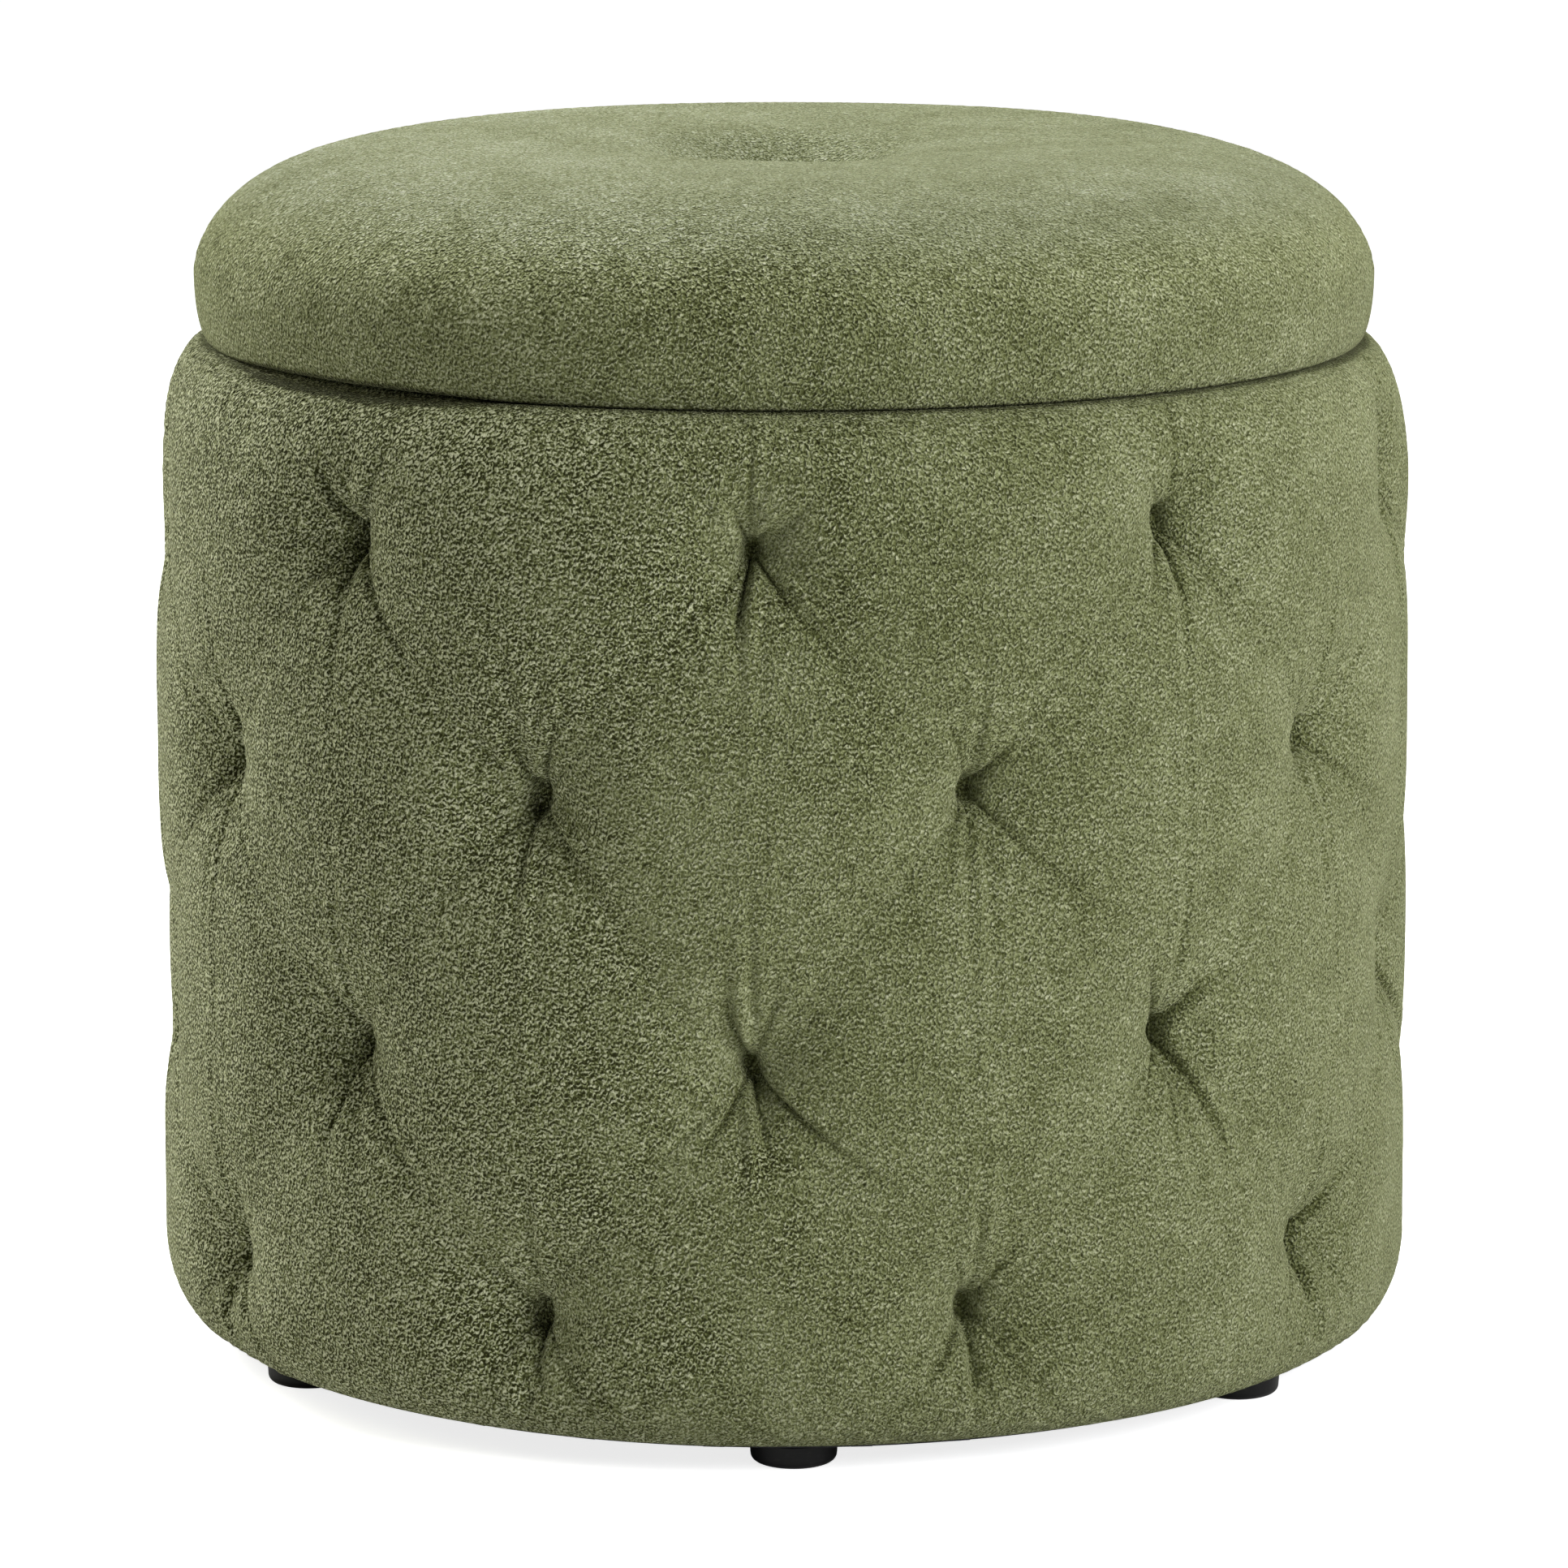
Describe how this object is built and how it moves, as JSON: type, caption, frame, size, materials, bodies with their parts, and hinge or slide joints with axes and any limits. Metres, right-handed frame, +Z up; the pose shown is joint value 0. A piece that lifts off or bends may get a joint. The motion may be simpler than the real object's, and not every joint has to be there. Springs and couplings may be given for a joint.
{
  "type": "storage ottoman",
  "caption": "Round storage ottoman: deep-tufted fleece drum on low round feet, with a hollow inside and a domed cushioned lid that lifts off.",
  "frame": {"origin": "on the floor under the centre of the drum", "axes": "+Z up along the drum's axis, -Y to the front foot, +X to the right seen from the front"},
  "size_m": [0.502, 0.502, 0.4839],
  "materials": {
    "fleece": "sage green short-pile fleece, matte with a soft sheen",
    "foam": "cream upholstery foam, open cell",
    "plywood": "raw plywood, unsealed",
    "hardboard": "brown hardboard, smooth face",
    "pine": "raw planed pine",
    "card": "grey paperboard, matte",
    "lining": "black non-woven lining cloth, matte",
    "foot_plastic": "moulded black plastic, satin",
    "screw_steel": "zinc-plated steel",
    "twine": "waxed upholstery twine"
  },
  "bodies": {
    "base": {"base_board": "plywood", "top_ring": "plywood", "drum_skin": "hardboard", "foam_wrap": "foam", "drum_cover": "fleece", "inner_panel": "card", "floor_card": "card", "wall_lining": "lining", "floor_lining": "lining", "dust_cover": "lining", "post_1": "pine", "post_2": "pine", "post_3": "pine", "post_4": "pine", "post_5": "pine", "post_6": "pine", "foot_1": "foot_plastic", "foot_2": "foot_plastic", "foot_3": "foot_plastic", "foot_4": "foot_plastic", "foot_5": "foot_plastic", "foot_6": "foot_plastic", "foot_screw_1": "screw_steel", "foot_screw_2": "screw_steel", "foot_screw_3": "screw_steel", "foot_screw_4": "screw_steel", "foot_screw_5": "screw_steel", "foot_screw_6": "screw_steel"},
    "lid": {"lid_board": "plywood", "locating_disc": "plywood", "lid_foam": "foam", "lid_cover": "fleece", "lid_liner": "lining", "tie_washer": "screw_steel", "tuft_tie": "twine", "lid_screw_1": "screw_steel", "lid_screw_2": "screw_steel", "lid_screw_3": "screw_steel", "lid_screw_4": "screw_steel", "lid_screw_5": "screw_steel", "lid_screw_6": "screw_steel"}
  },
  "joints": [
    {"name": "lid_lift", "type": "slide", "parent": "base", "child": "lid", "axis": [0, 0, 1], "range_m": [0, 0.3]}
  ]
}
